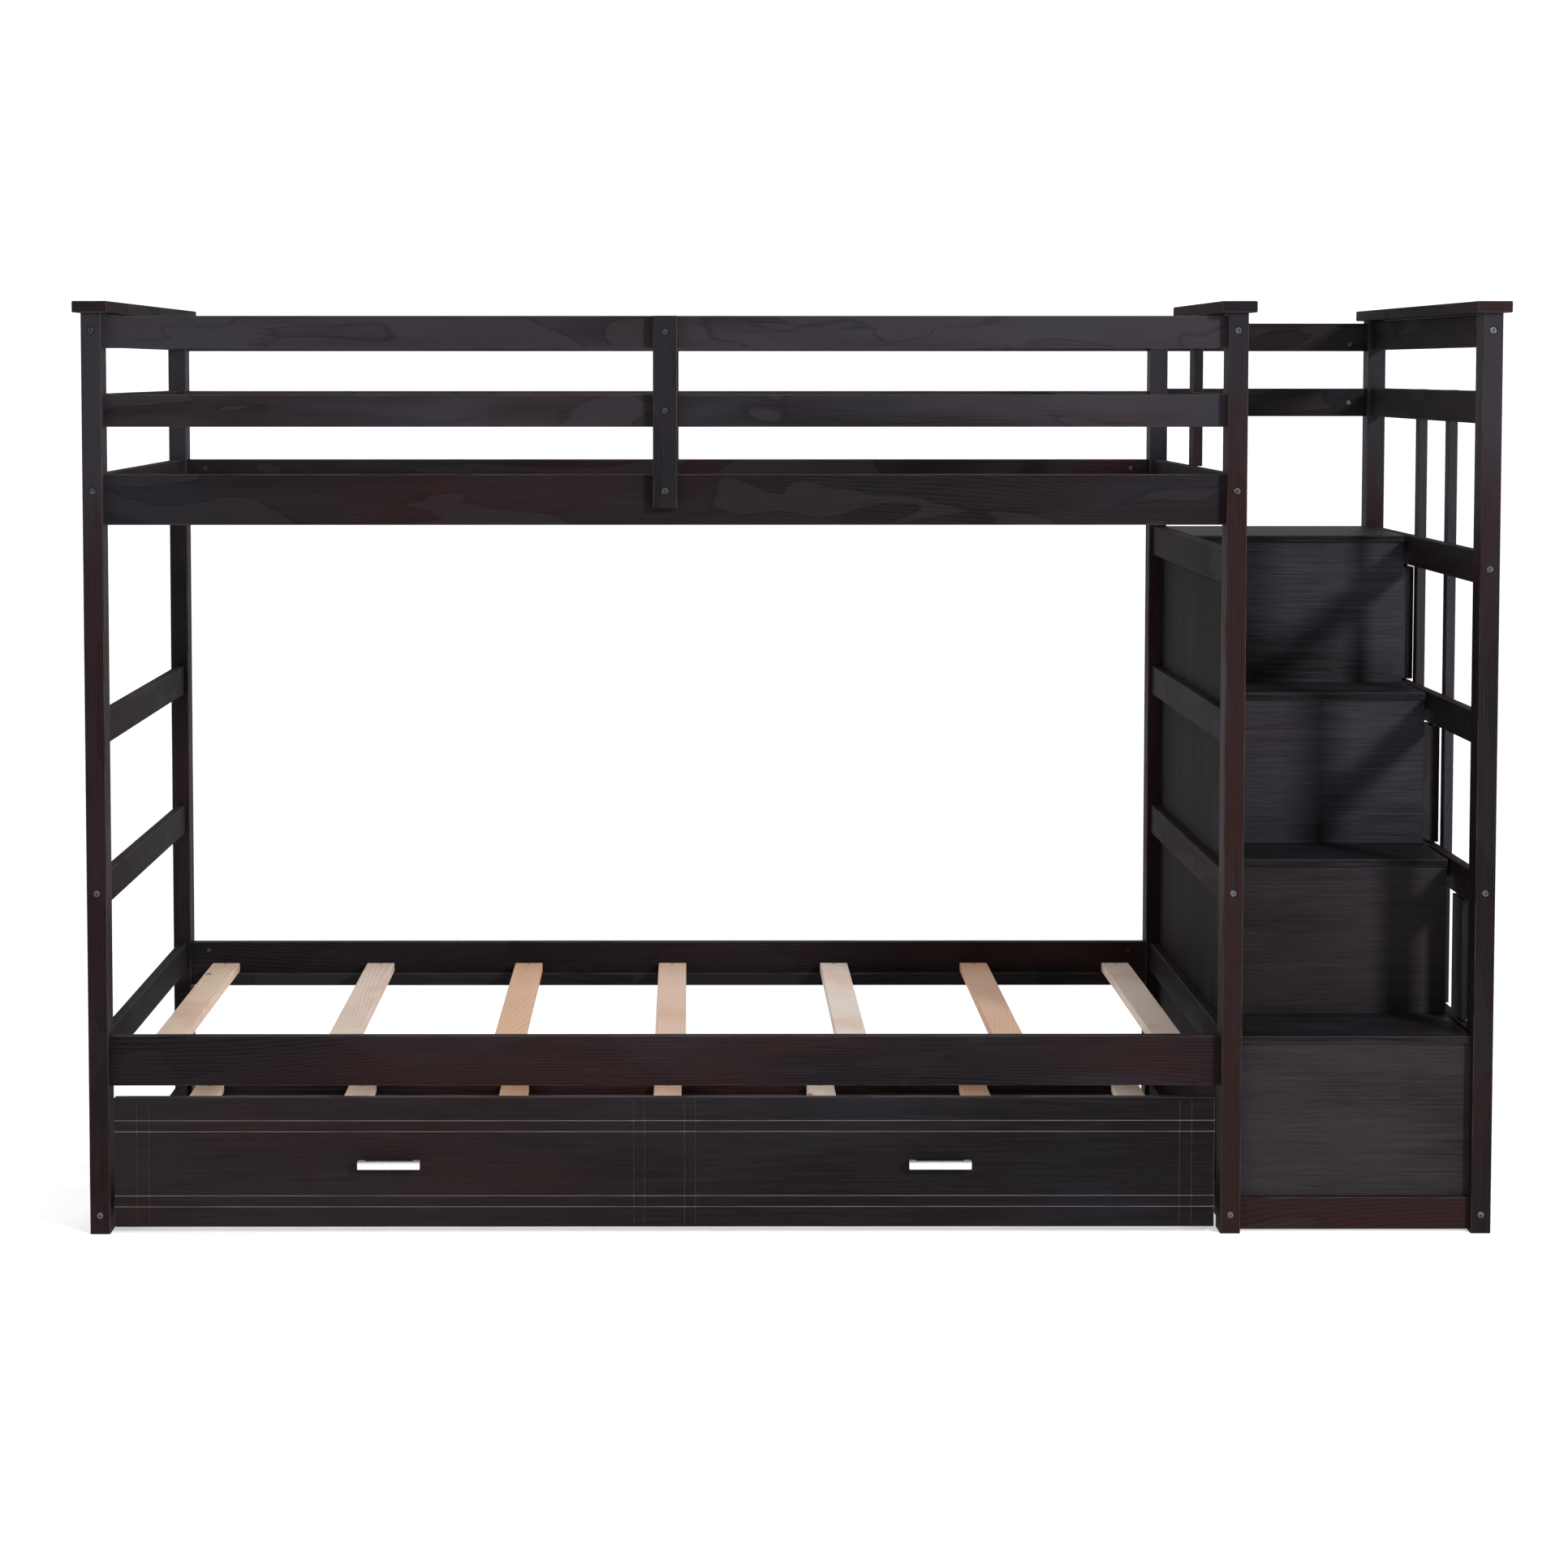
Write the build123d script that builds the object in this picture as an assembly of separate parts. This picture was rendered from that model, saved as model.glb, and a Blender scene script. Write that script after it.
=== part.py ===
"""Twin-over-twin bunk bed with a stepped staircase at one end and a pull-out trundle.

Millimetres, +Z up, front towards -Y, stairs towards +X. The origin is on the floor,
under the middle of the bed's outline. Depths (d) are measured back from the front
faces of the posts. Each node is written to parts/NODE.step.
"""
import os

from build123d import *

# ---------------------------------------------------------------- driving sizes
bed_clear = 1943.0          # between the left and the middle posts
stair_clear = 404.0         # between the middle and the right posts
frame_depth = 1088.0        # front faces to rear faces of the posts
post_top = 1608.0

post_width = 35.0           # along X
post_depth = 57.0           # along Y
cap_thickness = 20.0
cap_overhang = 13.0

bar_height = 57.0           # cross bars of the end frames
bar_thickness = 18.0
bottom_bar_z = 4.0
step_rise = 282.5           # tread to tread, and bar to bar
first_step_z = 346.0        # top of the first tread and of the lowest step bar
step_count = 4

rail_height = 88.0          # side rails under the mattresses
rail_thickness = 22.0
rail_setback = 22.0         # behind the faces of the posts
lower_rail_z = 258.0
upper_rail_z = 1241.0
guard_height = 56.0
mid_guard_z = 1411.0
top_guard_z = 1547.0
stair_guard_lift = 5.0      # the stair's middle guards stand this much higher
end_top_bar_gap = 2.0       # between an end frame's top bar and its cap

batten_width = 42.0
batten_thickness = 22.0
batten_x = -219.5           # middle of the guard battens
batten_z = 1271.0

slat_width = 56.0
slat_thickness = 18.0
slat_count = 7
first_slat_inset = 70.0     # first slat's middle from the left post
last_slat_inset = 61.0      # last slat's middle from the middle post
# how far each slat of the lower bunk is laid off its even place, towards the stairs
lower_slat_shifts = (0.0, 13.0, 13.0, 3.5, 30.0, 13.0, 0.0)
slat_end_gap = 2.0
ledger_inset = 50.0         # ledger's end from the posts, clear of the barrel nuts
ledger_width = 20.0
ledger_height = 25.0
lower_slat_top = 303.0
upper_slat_top = 1286.0

board_thickness = 13.0      # treads and risers
nosing = 8.0
first_riser_d = 23.0
riser_pitch = 211.0
kick_d = 15.0
kick_height = 57.0
kick_z = 4.0
cleat_size = 20.0
upright_depth = 57.0        # entry upright, along Y
upright_width = 18.0        # along X, flush with the posts' stair side
entry_start_d = 595.0       # where the way onto the upper bunk begins
side_slat_width = 17.0      # along X, on the bars' outer side
side_slat_depth = 32.0
side_slat_d = (390.0, 656.0)
side_board_width = 87.0
side_board_thickness = 15.0
side_board_reveal = 5.0
# (lower bar's index, depth of the front edge) of each upright board
side_board_places = ((0, 145.0), (0, 317.0), (1, 425.0), (2, 680.0))

trundle_left_gap = 7.0
trundle_right_gap = 10.0
trundle_front_d = 8.0
trundle_front_thickness = 18.0
trundle_floor_gap = 10.5
trundle_front_top = 240.0
trundle_back_d = 1022.0     # rear face of the back board
trundle_back_thickness = 18.0
trundle_back_top = 100.0
trundle_frame_z = 20.0      # underside of the frame below the slats
trundle_frame_width = 24.0
trundle_slat_top = 61.0
trundle_slat_thickness = 17.0
trundle_edge_inset = 6.0    # frame and end slats, from the front panel's ends
groove_width = 1.6
groove_depth = 1.2
groove_heights = (46.6, 66.0, 179.5, 199.0)
end_groove_insets = (40.0, 61.0)
centre_groove_offsets = (35.0, 54.0)
fine_groove_width = 1.2
fine_groove_depth = 0.5

handle_length = 109.0
handle_height = 15.0
handle_projection = 20.0
handle_bar_thickness = 7.0
handle_foot_length = 12.0
handle_offset = 482.0       # each handle from the trundle's middle
handle_z = 123.0

wheel_radius = 18.0
wheel_width = 14.0
wheel_bore = 3.0
axle_clearance = 0.05
wheel_side_gap = 0.6
cheek_thickness = 3.0
housing_length = 44.0
housing_top_thickness = 5.0
castor_floor_gap = 12.0     # housing's lower edge above the floor
castor_d = (110.0, 880.0)

bolt_shank = 3.0            # radii
bolt_head = 6.6
bolt_head_height = 4.0
bolt_sink = 0.6
bolt_socket = 2.6
bolt_socket_depth = 2.6
bolt_clearance = 0.4
nut_radius = 5.0
nut_length = 14.0
nut_clearance = 0.15
bar_nut_distance = 40.0     # barrel nut's axis from the end of its bar
rail_nut_distance = 35.0    # barrel nut's axis from the end of its rail
bolt_tail = 9.0             # bolt's length past the nut's axis
rail_bolt_inset = 17.0      # from a rail's upper and lower edges
mid_guard_bolt_z = 28.0     # above the guard's lower edge
top_guard_bolt_z = 14.0     # lower, to pass under the end frame's bolt
screw_head = 3.6
screw_head_height = 2.0
screw_shank = 1.6
screw_clearance = 0.1
tread_screw_inset = 8.0     # from the tread's right end
tread_screw_margin = 50.0   # from the risers
slat_screw_length = 32.0
tread_screw_length = 28.0

edge_ease = 2.5             # rounding of the planed edges
panel_ease = 1.0            # rounding of the board and panel edges

# ---------------------------------------------------------------- derived places
total_width = bed_clear + stair_clear + 3 * post_width
left_out = -total_width / 2
left_in = left_out + post_width
mid_in = left_in + bed_clear
mid_out = mid_in + post_width
right_in = mid_out + stair_clear
right_out = right_in + post_width
post_starts = {"left": left_out, "middle": mid_in, "right": right_in}
bar_recess = (post_width - bar_thickness) / 2
rail_inner_d = rail_setback + rail_thickness
step_tops = [first_step_z + step_rise * i for i in range(step_count)]
riser_depths = [first_riser_d + riser_pitch * i for i in range(step_count)]
upper_end_rail_z = upper_rail_z + rail_height - bar_height
lower_end_rail_z = lower_rail_z + rail_height - bar_height
end_top_bar_z = post_top - end_top_bar_gap - bar_height
stair_guard_z = mid_guard_z + stair_guard_lift
guards = ((mid_guard_z, mid_guard_bolt_z), (top_guard_z, top_guard_bolt_z))
stair_guards = ((stair_guard_z, mid_guard_bolt_z), (top_guard_z, top_guard_bolt_z))
trundle_x = (left_in + trundle_left_gap, mid_in - trundle_right_gap)
trundle_middle = sum(trundle_x) / 2
trundle_frame_x = (trundle_x[0] + trundle_edge_inset, trundle_x[1] - trundle_edge_inset)
trundle_inner_d = (trundle_front_d + trundle_front_thickness, trundle_back_d - trundle_back_thickness)
trundle_slat_under = trundle_slat_top - trundle_slat_thickness
castor_half = wheel_width / 2 + wheel_side_gap + cheek_thickness
castor_inset = trundle_frame_width + castor_half
castor_xs = (trundle_frame_x[0] + castor_inset, trundle_frame_x[1] - castor_inset)

os.makedirs("parts", exist_ok=True)


# ---------------------------------------------------------------- helpers
def y_at(depth):
    """Y of a depth behind the front faces of the posts."""
    return depth - frame_depth / 2


def mirrored(depths):
    """The same stretch of depth, counted from the rear faces of the posts."""
    return (frame_depth - depths[1], frame_depth - depths[0])


def board(x, d, z, along=None, ease=edge_ease):
    """A planed board between two Xs, two depths and two heights, its long edges eased."""
    size = (x[1] - x[0], d[1] - d[0], z[1] - z[0])
    centre = Vector((x[0] + x[1]) / 2, y_at((d[0] + d[1]) / 2), (z[0] + z[1]) / 2)
    block = Pos(*centre) * Box(*size)
    edges = block.edges() if along is None else block.edges().filter_by(along)
    return fillet(edges, min(ease, min(size) / 3))


def rod(start, direction, radius, length):
    """A cylinder from a point along a direction."""
    plane = Plane(origin=start, z_dir=direction)
    return plane * Pos(0, 0, length / 2) * Cylinder(radius, length)


def cut(shape, tools):
    """The shape less every tool."""
    return shape - list(tools) if tools else shape


def write(node, shapes):
    """Write one node, a single solid or a group of separate ones."""
    solids = [solid for shape in shapes for solid in shape.solids()]
    export_step(Compound(label=node, children=solids), f"parts/{node}.step")
    print(node, len(solids))


def spread(first, last, count):
    """Evenly spaced values, both ends included."""
    return [first + (last - first) * i / (count - 1) for i in range(count)]


# ---------------------------------------------------------------- fasteners
def bolt(start, direction, length):
    """Hex-socket bolt whose head sits just below the surface at start."""
    plane = Plane(origin=start, z_dir=direction)
    head_middle = bolt_sink + bolt_head_height / 2
    head = Pos(0, 0, head_middle) * Cylinder(bolt_head, bolt_head_height)
    head = chamfer(head.edges().group_by(Axis.Z)[0], 0.8)
    shank_start = bolt_sink + bolt_head_height
    shank = Pos(0, 0, (shank_start + length) / 2) * Cylinder(bolt_shank, length - shank_start)
    socket = extrude(Pos(0, 0, bolt_sink) * RegularPolygon(bolt_socket, 6), bolt_socket_depth)
    return plane * (head + shank - socket)


def bolt_hole(start, direction, length):
    """Counterbore and clearance hole for a bolt."""
    seat = rod(start, direction, bolt_head + bolt_clearance, bolt_sink + bolt_head_height)
    return [seat, rod(start, direction, bolt_shank + bolt_clearance, length + 2)]


def barrel_nut(face, direction, bolt_direction, thickness):
    """Cross nut, sunk from a face of its bar or rail and centred in the thickness."""
    axis = Vector(*direction)
    start = Vector(*face) + axis * (thickness - nut_length) / 2
    middle = Vector(*face) + axis * thickness / 2
    body = rod(start, direction, nut_radius, nut_length)
    thread = rod(middle - Vector(*bolt_direction) * nut_radius * 2, bolt_direction,
                 bolt_shank + axle_clearance, nut_radius * 4)
    slot = Plane(origin=start, z_dir=direction) * Box(nut_radius * 1.5, 1.2, 2.0)
    return body - thread - slot


def nut_hole(face, direction, thickness):
    """Blind bore for a barrel nut."""
    return rod(face, direction, nut_radius + nut_clearance, (thickness + nut_length) / 2)


def screw(top, length):
    """Flat-headed wood screw driven straight down."""
    head = rod(top, (0, 0, -1), screw_head, screw_head_height)
    shank = rod(Vector(*top) - Vector(0, 0, screw_head_height), (0, 0, -1), screw_shank,
                length - screw_head_height)
    cross = [Pos(*top) * Box(screw_head, 0.8, 1.6), Pos(*top) * Box(0.8, screw_head, 1.6)]
    return head + shank - cross


def screw_hole(top, length):
    """Countersunk seat and hole for a wood screw."""
    seat = rod(top, (0, 0, -1), screw_head + screw_clearance, screw_head_height)
    return [seat, rod(top, (0, 0, -1), screw_shank + screw_clearance, length + 1)]


class Joinery:
    """Collects the bolts, nuts and holes that the joints of the frame need."""

    def __init__(self):
        self.holes = {}
        self.bolts = {"bolts_end_frames": [], "bolts_rails": [], "bolts_battens": []}
        self.nuts = []
        self.sleeves = []

    def drill(self, node, tools):
        self.holes.setdefault(node, []).extend(tools)

    def bar_bolt(self, side, end, bar_node, z):
        """Bolt through a front or rear post, lengthways into a cross bar."""
        x = post_starts[side] + post_width / 2
        sign = 1 if end == "front" else -1
        start = (x, sign * y_at(0), z)
        direction = (0, sign, 0)
        nut_depth = post_depth + bar_nut_distance
        length = nut_depth + bolt_tail
        self.bolts["bolts_end_frames"].append(bolt(start, direction, length))
        hole = bolt_hole(start, direction, length)
        self.drill(f"post_{end}_{side}", hole)
        toward_bed = 1 if side == "left" else -1
        face = (x + toward_bed * bar_thickness / 2, sign * y_at(nut_depth), z)
        outward = (-toward_bed, 0, 0)
        self.nuts.append(barrel_nut(face, outward, direction, bar_thickness))
        self.drill(bar_node, hole + [nut_hole(face, outward, bar_thickness)])

    def rail_bolt(self, side, end, rail_node, z, direction_x):
        """Bolt through the side of a post into the end of a rail or guard."""
        depth = rail_setback + rail_thickness / 2
        sign = 1 if end == "front" else -1
        outer_x = post_starts[side] + (0 if direction_x > 0 else post_width)
        start = (outer_x, sign * y_at(depth), z)
        direction = (direction_x, 0, 0)
        nut_distance = post_width + rail_nut_distance
        length = nut_distance + bolt_tail
        self.bolts["bolts_rails"].append(bolt(start, direction, length))
        hole = bolt_hole(start, direction, length)
        self.drill(f"post_{end}_{side}", hole)
        nut_x = outer_x + direction_x * nut_distance
        face = (nut_x, sign * y_at(rail_inner_d), z)
        outward = (0, -sign, 0)
        self.nuts.append(barrel_nut(face, outward, direction, rail_thickness))
        self.drill(rail_node, hole + [nut_hole(face, outward, rail_thickness)])

    def batten_bolt(self, end, rail_node, z):
        """Short bolt through a guard batten into a sleeve nut in the rail behind it."""
        sign = 1 if end == "front" else -1
        start = (batten_x, sign * y_at(0), z)
        direction = (0, sign, 0)
        back = (batten_x, sign * y_at(rail_inner_d), z)
        length = batten_thickness + rail_thickness / 2
        self.bolts["bolts_battens"].append(bolt(start, direction, length))
        flange = rod(back, (0, -sign, 0), bolt_head, 2.0)
        tube = rod(back, (0, -sign, 0), nut_radius, rail_thickness - 4)
        thread = rod(back, (0, -sign, 0), bolt_shank + axle_clearance, rail_thickness)
        self.sleeves.append(flange + tube - thread)
        seat = rod(back, (0, -sign, 0), bolt_head + bolt_clearance, 2.0)
        sleeve = rod(back, (0, -sign, 0), nut_radius + nut_clearance, rail_thickness - 4)
        self.drill(f"batten_{end}", bolt_hole(start, direction, length))
        self.drill(rail_node, bolt_hole(start, direction, length) + [seat, sleeve])

    def finish(self, node, shapes):
        """Cut the node's holes and write it."""
        write(node, [cut(shape, self.holes.get(node, [])) for shape in shapes])


joinery = Joinery()


# ---------------------------------------------------------------- joints
def place_end_bolts():
    """The bolts that hold the end frames' bars between their posts."""
    for end in ("front", "rear"):
        for side in post_starts:
            for top in (bottom_bar_z + bar_height, step_tops[1]):
                joinery.bar_bolt(side, end, f"{side}_bars", top - bar_height / 2)
        for side in ("left", "middle"):
            joinery.bar_bolt(side, end, f"{side}_bars", upper_end_rail_z + bar_height / 2)
        joinery.bar_bolt("right", end, "right_bars", step_tops[3] - bar_height / 2)
        for side in ("left", "right"):
            joinery.bar_bolt(side, end, f"{side}_guard_bars", end_top_bar_z + bar_height / 2)
    joinery.bar_bolt("middle", "front", "middle_guard_bars", end_top_bar_z + bar_height / 2)


def place_rail_bolts():
    """The bolts that hold the side rails and guards between the end frames."""
    for end in ("front", "rear"):
        for side, direction in (("left", 1), ("middle", -1)):
            for level, z in (("lower", lower_rail_z), ("upper", upper_rail_z)):
                for height in (rail_bolt_inset, rail_height - rail_bolt_inset):
                    joinery.rail_bolt(side, end, f"rail_{end}_{level}", z + height, direction)
            for z, bolt_z in guards:
                joinery.rail_bolt(side, end, f"guards_{end}", z + bolt_z, direction)
    for z, bolt_z in stair_guards:
        joinery.rail_bolt("right", "rear", "stair_rear_guards", z + bolt_z, -1)


def place_batten_bolts():
    """The bolts that tie the guards to the upper rail at mid length."""
    for end in ("front", "rear"):
        joinery.batten_bolt(end, f"rail_{end}_upper", upper_end_rail_z + bar_height / 2)
        for z, _ in guards:
            joinery.batten_bolt(end, f"guards_{end}", z + guard_height / 2)


# ---------------------------------------------------------------- end frames
def make_posts():
    for side, x in post_starts.items():
        for end, depths in (("front", (0, post_depth)), ("rear", mirrored((0, post_depth)))):
            post = board((x, x + post_width), depths, (0, post_top), Axis.Z)
            joinery.finish(f"post_{end}_{side}", [post])


def make_caps():
    ends = {"left": frame_depth + cap_overhang, "right": frame_depth + cap_overhang,
            "middle": entry_start_d + cap_overhang}
    for side, rear in ends.items():
        x = post_starts[side]
        cap = board((x - cap_overhang, x + post_width + cap_overhang), (-cap_overhang, rear),
                    (post_top, post_top + cap_thickness))
        write(f"cap_{side}", [cap])


def bar(side, top, end_d=None):
    """One cross bar of an end frame, centred in the width of its posts."""
    x = post_starts[side] + bar_recess
    depths = (post_depth, frame_depth - post_depth if end_d is None else end_d)
    return board((x, x + bar_thickness), depths, (top - bar_height, top), Axis.Y)


def make_end_bars():
    bottom = bottom_bar_z + bar_height
    end_rails = [lower_end_rail_z + bar_height, upper_end_rail_z + bar_height]
    guard_tops = [mid_guard_z + bar_height, end_top_bar_z + bar_height]
    stair_tops = [stair_guard_z + bar_height, end_top_bar_z + bar_height]
    groups = {
        "left_guard_bars": [bar("left", top) for top in guard_tops],
        "left_bars": [bar("left", top) for top in [bottom] + end_rails + step_tops[1:3]],
        "middle_guard_bars": [bar("middle", top, entry_start_d - upright_depth) for top in guard_tops],
        "middle_bars": [bar("middle", top) for top in [bottom] + end_rails + step_tops[1:]],
        "right_guard_bars": [bar("right", top) for top in stair_tops],
        "right_bars": [bar("right", top) for top in [bottom] + step_tops],
    }
    for node, bars in groups.items():
        joinery.finish(node, bars)


def make_entry_upright():
    """The upright beside the way onto the upper bunk, standing on the middle end rail."""
    depths = (entry_start_d - upright_depth, entry_start_d)
    heights = (upper_end_rail_z + bar_height, post_top)
    write("entry_upright", [board((mid_out - upright_width, mid_out), depths, heights, Axis.Z)])


def make_side_uprights():
    """Slats outside the stair's bars, and short boards between them."""
    x = right_in + bar_recess + bar_thickness
    heights = (step_tops[1] - bar_height, stair_guard_z + bar_height)
    slats = [board((x, x + side_slat_width), (d, d + side_slat_depth), heights, Axis.Z)
             for d in side_slat_d]
    write("side_slats", slats)
    x = right_in + (post_width - side_board_thickness) / 2
    boards = []
    pins = []
    for index, d in side_board_places:
        low = step_tops[index] + side_board_reveal
        high = step_tops[index + 1] - bar_height - side_board_reveal
        piece = board((x, x + side_board_thickness), (d, d + side_board_width), (low, high), Axis.Z)
        for z in (low, high):
            middle = (x + side_board_thickness / 2, y_at(d + side_board_width / 2))
            pin_start = (*middle, z - side_board_reveal if z == low else z - 15)
            pin = rod(pin_start, (0, 0, 1), 4, side_board_reveal + 15)
            pins.append(pin)
            piece -= pin
        boards.append(piece)
    write("side_boards", boards)
    write("board_pins", pins)


# ---------------------------------------------------------------- rails and slats
def rail_depths(end):
    depths = (rail_setback, rail_inner_d)
    return depths if end == "front" else mirrored(depths)


def make_rails():
    for end in ("front", "rear"):
        for level, z in (("lower", lower_rail_z), ("upper", upper_rail_z)):
            rail = board((left_in, mid_in), rail_depths(end), (z, z + rail_height), Axis.X)
            joinery.finish(f"rail_{end}_{level}", [rail])
        pair = [board((left_in, mid_in), rail_depths(end), (z, z + guard_height), Axis.X)
                for z, _ in guards]
        joinery.finish(f"guards_{end}", pair)
    pair = [board((mid_out, right_in), rail_depths("rear"), (z, z + guard_height), Axis.X)
            for z, _ in stair_guards]
    joinery.finish("stair_rear_guards", pair)


def make_battens():
    x = (batten_x - batten_width / 2, batten_x + batten_width / 2)
    z = (batten_z, top_guard_z + guard_height)
    for end, depths in (("front", (rail_setback - batten_thickness, rail_setback)),
                        ("rear", mirrored((rail_setback - batten_thickness, rail_setback)))):
        joinery.finish(f"batten_{end}", [board(x, depths, z, Axis.Z)])


def make_bunk_slats():
    """Ledgers along the rails, slats across them and their screws, for both bunks."""
    even = spread(left_in + first_slat_inset, mid_in - last_slat_inset, slat_count)
    shifted = [x + shift for x, shift in zip(even, lower_slat_shifts)]
    slat_d = (rail_inner_d + slat_end_gap, frame_depth - rail_inner_d - slat_end_gap)
    ledger_ds = [(rail_inner_d, rail_inner_d + ledger_width)]
    ledger_ds.append(mirrored(ledger_ds[0]))
    ledgers = []
    screws = []
    for level, top, middles in (("lower", lower_slat_top, shifted), ("upper", upper_slat_top, even)):
        under = top - slat_thickness
        tops = [(x, y_at(sum(depths) / 2), top) for x in middles for depths in ledger_ds]
        holes = [hole for point in tops for hole in screw_hole(point, slat_screw_length)]
        screws += [screw(point, slat_screw_length) for point in tops]
        for depths in ledger_ds:
            ledger = board((left_in + ledger_inset, mid_in - ledger_inset), depths,
                           (under - ledger_height, under), Axis.X)
            ledgers.append(cut(ledger, holes))
        slats = [board((x - slat_width / 2, x + slat_width / 2), slat_d, (under, top), Axis.Y)
                 for x in middles]
        write(f"slats_{level}", [cut(slat, holes) for slat in slats])
    write("ledgers", ledgers)
    return screws


# ---------------------------------------------------------------- staircase
def make_stairs():
    """Treads, risers and the parts that carry them. Returns the tread screws."""
    x = (mid_out, right_in)
    screws = []
    cleats = []
    last_d = frame_depth - rail_setback
    nose_d = [d - nosing for d in riser_depths]
    back_d = [d + board_thickness for d in riser_depths[1:]] + [last_d]
    for index, top in enumerate(step_tops):
        name = "platform" if index == step_count - 1 else f"tread_{index + 1}"
        under = top - board_thickness
        tread = board(x, (nose_d[index], back_d[index]), (under, top), Axis.X, panel_ease * 3)
        screw_d = (riser_depths[index] + tread_screw_margin, back_d[index] - board_thickness
                   - tread_screw_margin)
        points = [(right_in - tread_screw_inset, y_at(d), top) for d in screw_d]
        holes = [hole for point in points for hole in screw_hole(point, tread_screw_length)]
        screws += [screw(point, tread_screw_length) for point in points]
        write(name, [cut(tread, holes)])
        cleat_d = (max(riser_depths[index] + board_thickness, post_depth),
                   min(back_d[index], frame_depth - post_depth))
        for side_x in ((mid_out, mid_out + cleat_size), (right_in - cleat_size, right_in + bar_recess)):
            cleat = board(side_x, cleat_d, (under - cleat_size, under), Axis.Y)
            cleats.append(cut(cleat, holes))
    write("stair_cleats", cleats)
    bottoms = [kick_z + kick_height] + step_tops[:-1]
    risers = [board(x, (d, d + board_thickness), (low, top - board_thickness), Axis.X, panel_ease)
              for d, low, top in zip(riser_depths, bottoms, step_tops)]
    write("risers", risers)
    kick = board(x, (kick_d, kick_d + bar_thickness), (kick_z, kick_z + kick_height), Axis.X)
    write("kick_board", [kick])
    panel_x = (mid_in + bar_recess + bar_thickness, mid_out)
    panel = board(panel_x, (post_depth, frame_depth - post_depth),
                  (bottom_bar_z, step_tops[-1]), Axis.Y, panel_ease)
    write("stair_inner_panel", [panel])
    platform_under = step_tops[-1] - board_thickness
    ties = [board(x, (last_d - rail_thickness, last_d), (top - bar_height, top), Axis.X)
            for top in (kick_z + kick_height, platform_under)]
    write("stair_rear_ties", ties)
    return screws


# ---------------------------------------------------------------- trundle
def grooves():
    """Thin grooves that panel the trundle's front."""
    x0, x1 = trundle_x
    y = y_at(trundle_front_d)
    length = x1 - x0 + 2
    height = trundle_front_top - trundle_floor_gap + 2
    middle_z = (trundle_front_top + trundle_floor_gap) / 2
    long = [Pos(trundle_middle, y, z) * Box(length, 2 * groove_depth, groove_width)
            for z in groove_heights]
    places = [x0 + inset for inset in end_groove_insets] + [x1 - inset for inset in end_groove_insets]
    places += [trundle_middle + sign * offset for offset in centre_groove_offsets for sign in (-1, 1)]
    upright = [Pos(x, y, middle_z) * Box(fine_groove_width, 2 * fine_groove_depth, height)
               for x in places]
    return long + upright


def make_handles():
    """Bar pulls with a finger gap, standing on two feet. Returns the screws' holes."""
    face = trundle_front_d
    handles = []
    for sign in (-1, 1):
        x = trundle_middle + sign * handle_offset
        z = (handle_z - handle_height / 2, handle_z + handle_height / 2)
        ends = (x - handle_length / 2, x + handle_length / 2)
        grip = board(ends, (face - handle_projection, face - handle_projection + handle_bar_thickness),
                     z, Axis.X, 2.0)
        feet = [board((a, a + handle_foot_length),
                      (face - handle_projection + handle_bar_thickness / 2, face), z, Axis.Y, 1.0)
                for a in (ends[0], ends[1] - handle_foot_length)]
        handles.append(grip + feet[0] + feet[1])
    write("trundle_handles", handles)


def make_trundle_box():
    """Front panel, back board, and the frame of ledgers under the slats. Returns the screws."""
    front_d = (trundle_front_d, trundle_inner_d[0])
    front = board(trundle_x, front_d, (trundle_floor_gap, trundle_front_top))
    write("trundle_front", [cut(front, grooves())])
    back_d = (trundle_inner_d[1], trundle_back_d)
    write("trundle_back", [board(trundle_frame_x, back_d, (trundle_frame_z, trundle_back_top), Axis.X)])
    frame_z = (trundle_frame_z, trundle_slat_under)
    ledger_ds = ((trundle_inner_d[0], trundle_inner_d[0] + trundle_frame_width),
                 (trundle_inner_d[1] - trundle_frame_width, trundle_inner_d[1]))
    between = (ledger_ds[0][1], ledger_ds[1][0])
    ends = [board(x, between, frame_z, Axis.Y, panel_ease)
            for x in ((trundle_frame_x[0], trundle_frame_x[0] + trundle_frame_width),
                      (trundle_frame_x[1] - trundle_frame_width, trundle_frame_x[1]))]
    write("trundle_ends", ends)
    half = slat_width / 2
    middles = spread(trundle_frame_x[0] + half, trundle_frame_x[1] - half, slat_count)
    points = [(x, y_at(sum(depths) / 2), trundle_slat_top) for x in middles for depths in ledger_ds]
    holes = [hole for point in points for hole in screw_hole(point, slat_screw_length)]
    ledgers = [board(trundle_frame_x, depths, frame_z, Axis.X) for depths in ledger_ds]
    write("trundle_ledgers", [cut(ledger, holes) for ledger in ledgers])
    slat_d = (trundle_inner_d[0] + slat_end_gap, trundle_inner_d[1] - slat_end_gap)
    slats = [board((x - half, x + half), slat_d, (trundle_slat_under, trundle_slat_top), Axis.Y)
             for x in middles]
    write("trundle_slats", [cut(slat, holes) for slat in slats])
    return [screw(point, slat_screw_length) for point in points]


def castor_axle(x, d):
    """Axle along X, as long as the housing is wide."""
    start = (x - castor_half, y_at(d), wheel_radius)
    return rod(start, (1, 0, 0), wheel_bore - axle_clearance, 2 * castor_half)


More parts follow.
